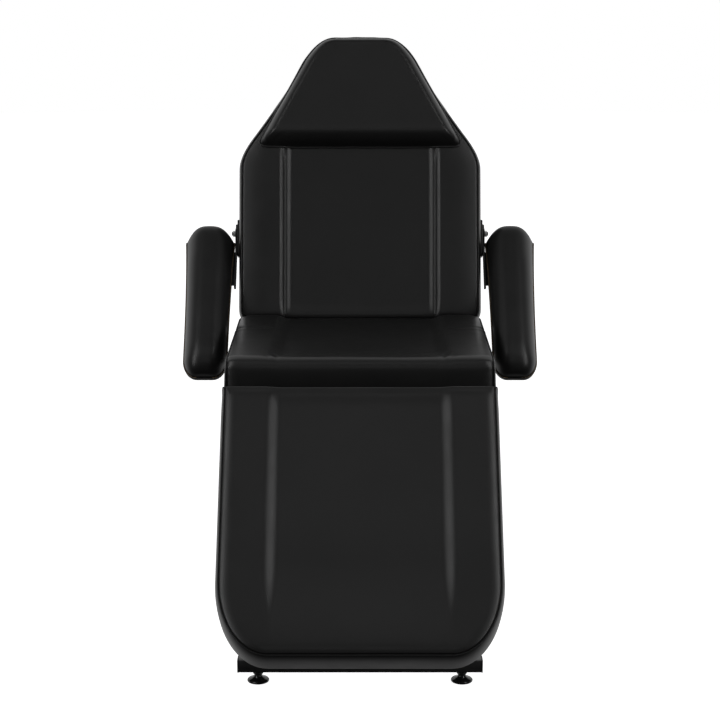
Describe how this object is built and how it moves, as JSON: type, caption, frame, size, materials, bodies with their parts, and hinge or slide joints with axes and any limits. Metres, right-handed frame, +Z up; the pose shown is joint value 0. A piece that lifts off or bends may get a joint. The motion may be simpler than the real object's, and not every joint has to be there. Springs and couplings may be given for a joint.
{
  "type": "facial treatment bed",
  "caption": "Reclining treatment bed: padded seat, tilting padded back with head pillow and armrests, lifting padded leg rest, on a steel tube base with levelling feet.",
  "frame": {"origin": "on the floor under the middle of the bed's box, with the back at its most upright and the leg rest fully lowered", "axes": "+Z up, +X to the sitter's left, -Y the way the sitter faces"},
  "size_m": [0.864, 1.451, 1.4149],
  "materials": {
    "black_vinyl": "satin grained black artificial leather",
    "painted_steel": "satin black powder coat",
    "black_plastic": "moulded black polyethylene",
    "foot_plastic": "glossy black nylon",
    "plywood": "raw plywood",
    "zinc_steel": "bright zinc plate"
  },
  "bodies": {
    "base": {"front_floor_bar": "painted_steel", "rear_floor_bar": "painted_steel", "front_cross_tube": "painted_steel", "middle_cross_tube": "painted_steel", "rear_low_cross_tube": "painted_steel", "front_leg_left": "painted_steel", "rear_leg_left": "painted_steel", "top_rail_left": "painted_steel", "back_rack_left": "painted_steel", "leg_rack_left": "painted_steel", "back_hinge_ear_left": "painted_steel", "leg_hinge_ear_left": "painted_steel", "front_floor_bar_cap_left": "black_plastic", "rear_floor_bar_cap_left": "black_plastic", "top_rail_cap_left": "black_plastic", "back_hinge_bolt_left": "zinc_steel", "leg_hinge_bolt_left": "zinc_steel", "front_leg_right": "painted_steel", "rear_leg_right": "painted_steel", "top_rail_right": "painted_steel", "back_rack_right": "painted_steel", "leg_rack_right": "painted_steel", "back_hinge_ear_right": "painted_steel", "leg_hinge_ear_right": "painted_steel", "front_floor_bar_cap_right": "black_plastic", "rear_floor_bar_cap_right": "black_plastic", "top_rail_cap_right": "black_plastic", "back_hinge_bolt_right": "zinc_steel", "leg_hinge_bolt_right": "zinc_steel", "seat_board": "plywood", "seat_cushion": "black_vinyl"},
    "backrest": {"back_board": "plywood", "back_cushion": "black_vinyl", "head_pillow": "black_vinyl", "back_cross_tube_lower": "painted_steel", "back_cross_tube_upper": "painted_steel", "back_side_frame_left": "painted_steel", "back_side_frame_right": "painted_steel", "armrest_side_plate_left": "painted_steel", "armrest_side_plate_right": "painted_steel"},
    "back_prop": {"back_prop": "painted_steel"},
    "legrest": {"leg_board": "plywood", "leg_cushion": "black_vinyl", "leg_cross_tube_upper": "painted_steel", "leg_cross_tube_lower": "painted_steel", "leg_side_frame_left": "painted_steel", "leg_side_frame_right": "painted_steel"},
    "leg_prop": {"leg_prop": "painted_steel"},
    "left_armrest": {"armrest_board_left": "plywood", "armrest_pad_left": "black_vinyl", "armrest_bracket_left": "painted_steel", "armrest_nut_left": "zinc_steel"},
    "right_armrest": {"armrest_board_right": "plywood", "armrest_pad_right": "black_vinyl", "armrest_bracket_right": "painted_steel", "armrest_nut_right": "zinc_steel"},
    "front_left_foot": {"levelling_foot_front_left": "foot_plastic"},
    "front_right_foot": {"levelling_foot_front_right": "foot_plastic"},
    "rear_left_foot": {"levelling_foot_rear_left": "foot_plastic"},
    "rear_right_foot": {"levelling_foot_rear_right": "foot_plastic"}
  },
  "joints": [
    {"name": "back_recline", "type": "hinge", "parent": "base", "child": "backrest", "pos_m": [0, 0.2382, 0.71], "axis": [-1, 0, 0], "range_deg": [0, 74]},
    {"name": "back_prop_swing", "type": "hinge", "parent": "backrest", "child": "back_prop", "pos_m": [0, 0.39568, 0.89768], "axis": [1, 0, 0], "range_deg": [0, 148]},
    {"name": "leg_rest_lift", "type": "hinge", "parent": "base", "child": "legrest", "pos_m": [0, -0.2875, 0.662], "axis": [-1, 0, 0], "range_deg": [0, 52]},
    {"name": "leg_prop_swing", "type": "hinge", "parent": "legrest", "child": "leg_prop", "pos_m": [0, -0.34621, 0.4813], "axis": [1, 0, 0], "range_deg": [0, 104]},
    {"name": "left_armrest_tilt", "type": "hinge", "parent": "backrest", "child": "left_armrest", "pos_m": [0.308, 0.3155, 0.938], "axis": [-1, 0, 0], "range_deg": [-30, 75]},
    {"name": "right_armrest_tilt", "type": "hinge", "parent": "backrest", "child": "right_armrest", "pos_m": [-0.308, 0.3155, 0.938], "axis": [-1, 0, 0], "range_deg": [-30, 75]},
    {"name": "front_left_foot_height", "type": "slide", "parent": "base", "child": "front_left_foot", "axis": [0, 0, -1], "range_m": [0, 0.012]},
    {"name": "front_right_foot_height", "type": "slide", "parent": "base", "child": "front_right_foot", "axis": [0, 0, -1], "range_m": [0, 0.012]},
    {"name": "rear_left_foot_height", "type": "slide", "parent": "base", "child": "rear_left_foot", "axis": [0, 0, -1], "range_m": [0, 0.012]},
    {"name": "rear_right_foot_height", "type": "slide", "parent": "base", "child": "rear_right_foot", "axis": [0, 0, -1], "range_m": [0, 0.012]}
  ],
  "couplings": [
    {"joint": "back_prop_swing", "follows": "back_recline", "ratio": 2},
    {"joint": "leg_prop_swing", "follows": "leg_rest_lift", "ratio": 2}
  ]
}
